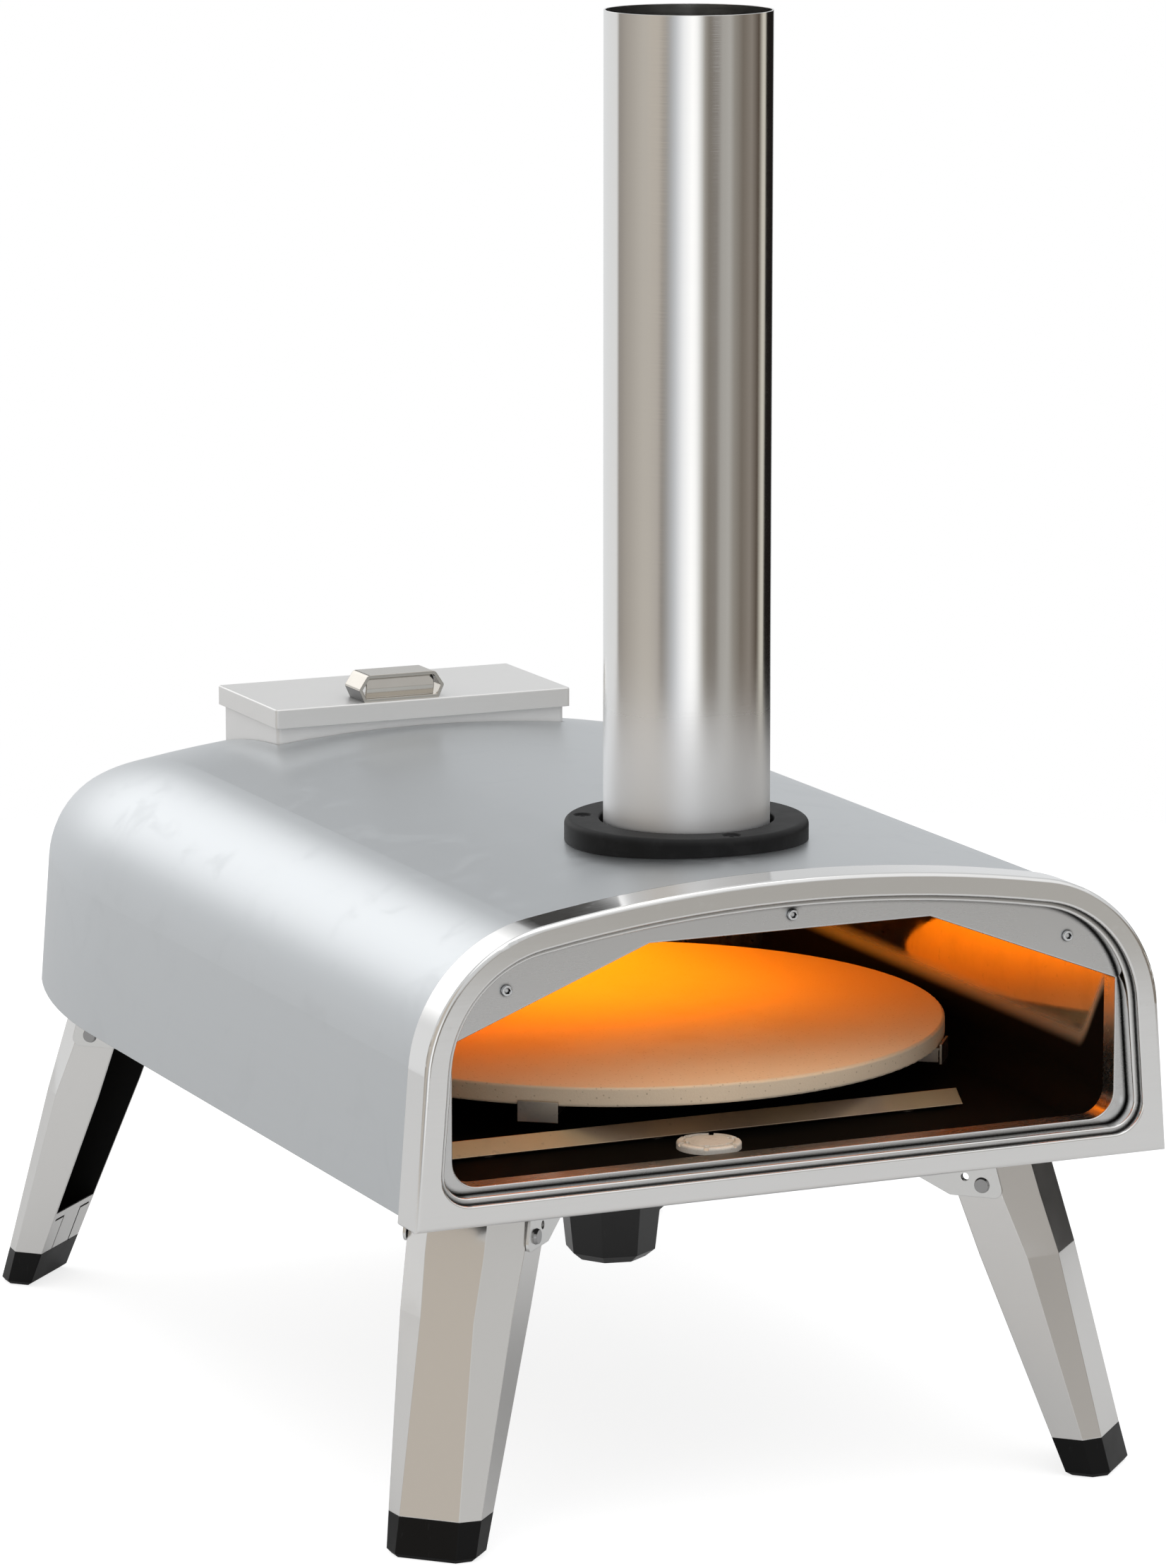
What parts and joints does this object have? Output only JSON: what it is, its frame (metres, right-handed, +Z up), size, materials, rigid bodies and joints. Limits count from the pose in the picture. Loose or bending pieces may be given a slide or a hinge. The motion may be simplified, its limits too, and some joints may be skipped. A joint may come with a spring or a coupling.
{
  "type": "pizza oven",
  "caption": "Arched steel wood fired pizza oven with a turning stone, chimney, lidded pellet hopper, rear fuel tray and folding legs.",
  "frame": {"origin": "on the ground, under the middle of the oven's overall width and depth", "axes": "+X to the oven's right seen from its mouth, the mouth faces -Y, +Z up"},
  "size_m": [0.3906, 0.612, 0.703],
  "materials": {
    "shell_steel": "satin, slightly warm light grey",
    "bottom_steel": "mill finish",
    "rear_steel": "satin",
    "frame_polished_steel": "polished",
    "panel_polished_steel": "bright, finely brushed",
    "screw_steel": "bright",
    "liner_steel": "bright, heat tinted",
    "insulation_fibre": "soft white fibre",
    "baffle_steel": "heat tinted",
    "fire_box_steel": "sooted, heat tinted",
    "runner_steel": "mill finish",
    "hopper_steel": "satin",
    "lid_steel": "satin",
    "lid_frame_steel": "satin",
    "lid_handle_steel": "polished",
    "rivet_steel": "bright",
    "flange_black": "matt black heat-proof paint",
    "socket_steel": "mill finish",
    "flange_screw_steel": "dark zinc",
    "chimney_mirror_steel": "mirror polished",
    "cordierite_stone": "fine sandy cordierite",
    "carrier_steel": "mill finish",
    "spindle_steel": "turned",
    "carrier_screw_steel": "bright",
    "bush_steel": "turned",
    "washer_brass": "flat",
    "clip_steel": "blued",
    "knob_black_plastic": "semi-gloss black",
    "knob_screw_steel": "bright",
    "cross_bar_steel": "bright",
    "standoff_steel": "bright",
    "floor_cap_ceramic": "white glazed",
    "tray_steel": "sooted",
    "grate_steel": "burnt",
    "tray_front_steel": "satin",
    "tray_handle_steel": "polished",
    "tray_screw_steel": "bright",
    "leg_polished_steel": "polished",
    "foot_black_plastic": "black",
    "bracket_steel": "bright",
    "pivot_pin_steel": "bright",
    "bracket_screw_steel": "bright"
  },
  "bodies": {
    "root": {"outer_shell": "shell_steel", "bottom_plate": "bottom_steel", "rear_panel": "rear_steel", "front_frame": "frame_polished_steel", "front_inner_panel": "panel_polished_steel", "front_panel_screws": "screw_steel", "inner_liner": "liner_steel", "insulation_blanket": "insulation_fibre", "rear_baffle": "baffle_steel", "fire_box": "fire_box_steel", "tray_runners": "runner_steel", "hopper_box": "hopper_steel", "chimney_flange": "flange_black", "chimney_socket": "socket_steel", "flange_screws": "flange_screw_steel", "spindle_bush": "bush_steel", "thrust_washer": "washer_brass", "front_cross_bar": "cross_bar_steel", "bar_standoffs": "standoff_steel", "floor_cap": "floor_cap_ceramic", "bracket_front_left": "bracket_steel", "bracket_front_right": "bracket_steel", "bracket_rear_left": "bracket_steel", "bracket_rear_right": "bracket_steel", "leg_pivot_pins": "pivot_pin_steel", "bracket_screws": "bracket_screw_steel"},
    "turntable": {"pizza_stone": "cordierite_stone", "stone_carrier": "carrier_steel", "turntable_spindle": "spindle_steel", "carrier_screw": "carrier_screw_steel", "turning_knob": "knob_black_plastic", "knob_screw": "knob_screw_steel", "spindle_clip": "clip_steel"},
    "chimney": {"chimney_tube": "chimney_mirror_steel"},
    "lid": {"hopper_lid": "lid_steel", "lid_locating_frame": "lid_frame_steel", "lid_handle": "lid_handle_steel", "lid_rivets": "rivet_steel"},
    "fuel_drawer": {"fuel_tray": "tray_steel", "fire_grate": "grate_steel", "tray_front": "tray_front_steel", "tray_handle": "tray_handle_steel", "tray_handle_screws": "tray_screw_steel"},
    "leg_front_left_body": {"leg_front_left": "leg_polished_steel", "foot_front_left": "foot_black_plastic"},
    "leg_front_right_body": {"leg_front_right": "leg_polished_steel", "foot_front_right": "foot_black_plastic"},
    "leg_rear_left_body": {"leg_rear_left": "leg_polished_steel", "foot_rear_left": "foot_black_plastic"},
    "leg_rear_right_body": {"leg_rear_right": "leg_polished_steel", "foot_rear_right": "foot_black_plastic"}
  },
  "joints": [
    {"name": "turntable_spin", "type": "hinge", "parent": "root", "child": "turntable", "pos_m": [0, -0.093, 0.19], "axis": [0, 0, 1], "continuous": true},
    {"name": "chimney_lift", "type": "slide", "parent": "root", "child": "chimney", "axis": [0, 0, 1], "range_m": [0, 0.05]},
    {"name": "lid_lift", "type": "slide", "parent": "root", "child": "lid", "axis": [0, 0, 1], "range_m": [0, 0.04]},
    {"name": "fuel_drawer_slide", "type": "slide", "parent": "root", "child": "fuel_drawer", "axis": [0, 1, 0], "range_m": [0, 0.14]},
    {"name": "leg_front_right_fold", "type": "hinge", "parent": "root", "child": "leg_front_right_body", "pos_m": [0.1394, -0.2431, 0.143], "axis": [0.7071, 0.7071, 0], "range_deg": [0, 108]},
    {"name": "leg_front_left_fold", "type": "hinge", "parent": "root", "child": "leg_front_left_body", "pos_m": [-0.1394, -0.2431, 0.143], "axis": [0.7071, -0.7071, 0], "range_deg": [0, 108]},
    {"name": "leg_rear_right_fold", "type": "hinge", "parent": "root", "child": "leg_rear_right_body", "pos_m": [0.1394, 0.2356, 0.143], "axis": [-0.7071, 0.7071, 0], "range_deg": [0, 108]},
    {"name": "leg_rear_left_fold", "type": "hinge", "parent": "root", "child": "leg_rear_left_body", "pos_m": [-0.1394, 0.2356, 0.143], "axis": [-0.7071, -0.7071, 0], "range_deg": [0, 108]}
  ]
}
